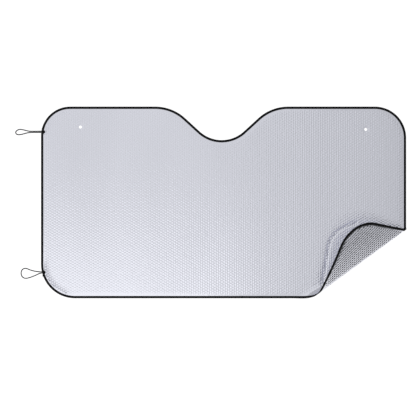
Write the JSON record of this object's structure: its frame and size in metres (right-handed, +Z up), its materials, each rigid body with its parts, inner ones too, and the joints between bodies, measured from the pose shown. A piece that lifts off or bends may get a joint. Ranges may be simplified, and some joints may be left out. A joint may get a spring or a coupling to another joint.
{
  "type": "car windscreen sunshade",
  "caption": "Flat reflective bubble-foil windscreen sunshade with a mirror notch, bound edge, suction-cup holes and elastic loops; one corner curls up.",
  "frame": {"origin": "under the middle of the sheet, on the ground it lies on", "axes": "+X along the shade's length, away from the elastic loops; +Y across it, towards the edge with the mirror notch; +Z up, out of the face that lies uppermost"},
  "size_m": [1.5, 0.7357, 0.1223],
  "materials": {
    "bubble_foil": "metallised film over small air bubbles, soft silver sheen",
    "binding_tape": "black woven tape, matt",
    "elastic_cord": "black braided elastic, matt"
  },
  "bodies": {
    "root": {"shade_panel": "bubble_foil", "edge_binding": "binding_tape", "upper_loop": "elastic_cord", "lower_loop": "elastic_cord", "upper_loop_knot": "elastic_cord", "lower_loop_knot": "elastic_cord"}
  },
  "joints": []
}
